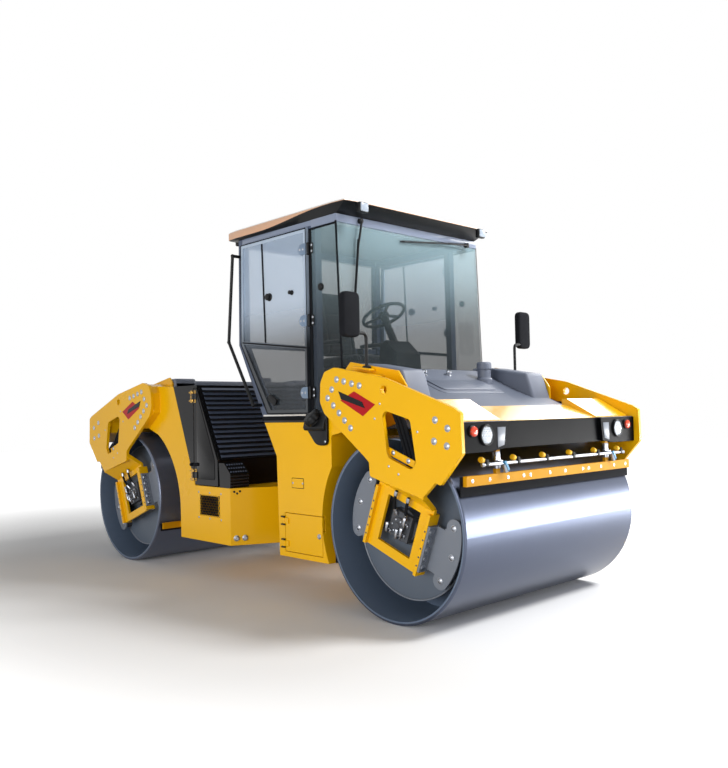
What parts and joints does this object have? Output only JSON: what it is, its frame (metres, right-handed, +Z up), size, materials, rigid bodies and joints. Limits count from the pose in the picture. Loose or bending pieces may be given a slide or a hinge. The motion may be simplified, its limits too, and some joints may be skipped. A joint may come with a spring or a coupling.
{
  "type": "tandem road roller",
  "caption": "Articulated tandem road roller with smooth steel drums in side-plate yokes, a glazed cab, sprinkler tanks, spray bars, scrapers and a louvred engine hood.",
  "frame": {"origin": "on the ground below the steering pin, midway between the drum axes", "axes": "+X forward, +Y left, +Z up"},
  "size_m": [5.2072, 2.3393, 3.1348],
  "materials": {
    "yellow_paint": "gloss paint",
    "drum_steel": "polished by rolling",
    "charcoal_paint": "satin paint",
    "black_paint": "gloss paint",
    "grey_paint": "satin paint",
    "slate_paint": "satin paint",
    "roof_plastic": "gloss",
    "tank_plastic": "rough moulded",
    "black_plastic": "matte",
    "lamp_lens": "clear lens",
    "red_lens": "clear lens",
    "zinc_steel": "zinc plated",
    "rubber": "matte",
    "glass": "tinted",
    "seat_fabric": "woven",
    "iron": "dark",
    "rod_chrome": "bright"
  },
  "bodies": {
    "front_frame": {"front_frame": "yellow_paint", "front_yokes": "yellow_paint", "front_crossbeam": "yellow_paint", "front_bumper": "charcoal_paint", "front_lamps": "lamp_lens", "front_spray_bar": "zinc_steel", "front_scraper": "yellow_paint", "front_scraper_rubber": "rubber", "front_tank": "tank_plastic", "front_carriers": "grey_paint", "front_mounts": "iron", "front_hoses": "rubber", "cab_floor": "charcoal_paint", "cab_frame": "slate_paint", "cab_roof": "roof_plastic", "cab_glass": "glass", "cab_hinges": "charcoal_paint", "seat_base": "black_paint", "seat_cushions": "seat_fabric", "console": "black_plastic", "mirrors": "black_plastic", "work_lamps": "black_plastic", "grab_rails": "black_paint", "fuel_filler": "black_plastic"},
    "rear_frame": {"rear_frame": "yellow_paint", "rear_yokes": "yellow_paint", "rear_crossbeam": "yellow_paint", "rear_bumper": "charcoal_paint", "rear_lamps": "red_lens", "rear_spray_bar": "zinc_steel", "rear_scraper": "yellow_paint", "rear_scraper_rubber": "rubber", "rear_tank": "tank_plastic", "rear_carriers": "grey_paint", "rear_mounts": "iron", "rear_hoses": "rubber", "engine": "iron", "hood": "black_paint", "grille": "black_plastic", "steps": "black_paint", "hood_hinges": "zinc_steel"},
    "front_drum": {"front_drum": "drum_steel"},
    "rear_drum": {"rear_drum": "drum_steel"},
    "hitch": {"hitch": "iron"},
    "hatch_right": {"hatch_right": "yellow_paint"},
    "hatch_left": {"hatch_left": "yellow_paint"},
    "steer_barrel_right": {"steer_barrel_right": "black_paint"},
    "steer_barrel_left": {"steer_barrel_left": "black_paint"},
    "steer_rod_right": {"steer_rod_right": "rod_chrome"},
    "steer_rod_left": {"steer_rod_left": "rod_chrome"},
    "engine_door_right": {"engine_door_right": "black_paint"},
    "engine_door_left": {"engine_door_left": "black_paint"},
    "door_right": {"door_right": "slate_paint", "door_right_glass": "glass"},
    "door_left": {"door_left": "slate_paint", "door_left_glass": "glass"}
  },
  "joints": [
    {"name": "front_drum_roll", "type": "hinge", "parent": "front_frame", "child": "front_drum", "pos_m": [1.9, 0, 0.65], "axis": [0, 1, 0], "continuous": true},
    {"name": "steer", "type": "hinge", "parent": "front_frame", "child": "hitch", "pos_m": [0, 0, 0.62], "axis": [0, 0, 1], "range_deg": [-35, 35]},
    {"name": "oscillation", "type": "hinge", "parent": "hitch", "child": "rear_frame", "pos_m": [-0.27, 0, 0.62], "axis": [1, 0, 0], "range_deg": [-6, 6]},
    {"name": "rear_drum_roll", "type": "hinge", "parent": "rear_frame", "child": "rear_drum", "pos_m": [-1.9, 0, 0.65], "axis": [0, 1, 0], "continuous": true},
    {"name": "door_right_swing", "type": "hinge", "parent": "front_frame", "child": "door_right", "pos_m": [0.828, -0.883, 2.2], "axis": [0, 0, -1], "range_deg": [-85, 0]},
    {"name": "door_left_swing", "type": "hinge", "parent": "front_frame", "child": "door_left", "pos_m": [0.828, 0.883, 2.2], "axis": [0, 0, -1], "range_deg": [0, 85]},
    {"name": "hatch_right_swing", "type": "hinge", "parent": "front_frame", "child": "hatch_right", "pos_m": [0.686, -1.06, 0.52], "axis": [0, 0, 1], "range_deg": [-85, 0]},
    {"name": "hatch_left_swing", "type": "hinge", "parent": "front_frame", "child": "hatch_left", "pos_m": [0.686, 1.06, 0.52], "axis": [0, 0, 1], "range_deg": [0, 85]},
    {"name": "engine_door_right_swing", "type": "hinge", "parent": "rear_frame", "child": "engine_door_right", "pos_m": [-0.657, -1.059, 1.28], "axis": [0, 0, 1], "range_deg": [-100, 0]},
    {"name": "engine_door_left_swing", "type": "hinge", "parent": "rear_frame", "child": "engine_door_left", "pos_m": [-0.657, 1.059, 1.28], "axis": [0, 0, 1], "range_deg": [0, 100]},
    {"name": "barrel_right_swing", "type": "hinge", "parent": "front_frame", "child": "steer_barrel_right", "pos_m": [0.545, -0.345, 0.62], "axis": [0, 0, 1], "range_deg": [-4.34, 4.34]},
    {"name": "rod_right_slide", "type": "slide", "parent": "steer_barrel_right", "child": "steer_rod_right", "axis": [-0.9747, 0.2236, 0], "range_m": [-0.1225, 0.1225]},
    {"name": "barrel_left_swing", "type": "hinge", "parent": "front_frame", "child": "steer_barrel_left", "pos_m": [0.545, 0.345, 0.62], "axis": [0, 0, 1], "range_deg": [-4.34, 4.34]},
    {"name": "rod_left_slide", "type": "slide", "parent": "steer_barrel_left", "child": "steer_rod_left", "axis": [-0.9747, -0.2236, 0], "range_m": [-0.1225, 0.1225]}
  ],
  "couplings": [
    {"joint": "barrel_right_swing", "follows": "steer", "ratio": -0.1098},
    {"joint": "rod_right_slide", "follows": "steer", "m_per_rad": -0.19731},
    {"joint": "barrel_left_swing", "follows": "steer", "ratio": -0.1098},
    {"joint": "rod_left_slide", "follows": "steer", "m_per_rad": 0.19731}
  ]
}
